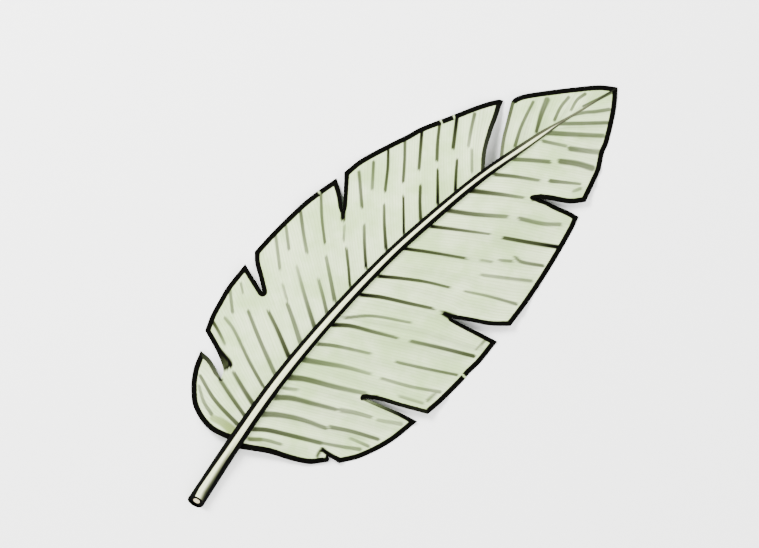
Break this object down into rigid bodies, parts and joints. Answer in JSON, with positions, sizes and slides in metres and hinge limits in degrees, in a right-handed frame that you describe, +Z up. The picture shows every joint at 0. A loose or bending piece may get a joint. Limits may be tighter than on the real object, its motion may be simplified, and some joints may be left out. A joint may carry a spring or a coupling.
{
  "type": "banana leaf",
  "caption": "Cut banana leaf lying underside up: a round channelled stalk runs on as the midrib of a long, pleated blade that is torn along its veins and tapers to a point.",
  "frame": {"origin": "middle of the leaf's box in plan, on the surface that it lies on", "axes": "+Y from the cut end of the stalk to the apex, +Z up and out of the leaf's underside, +X to the right seen from above"},
  "size_m": [0.3676, 0.9128, 0.0464],
  "materials": {
    "leaf": "satin"
  },
  "bodies": {
    "root": {"banana_leaf": "leaf"}
  },
  "joints": []
}
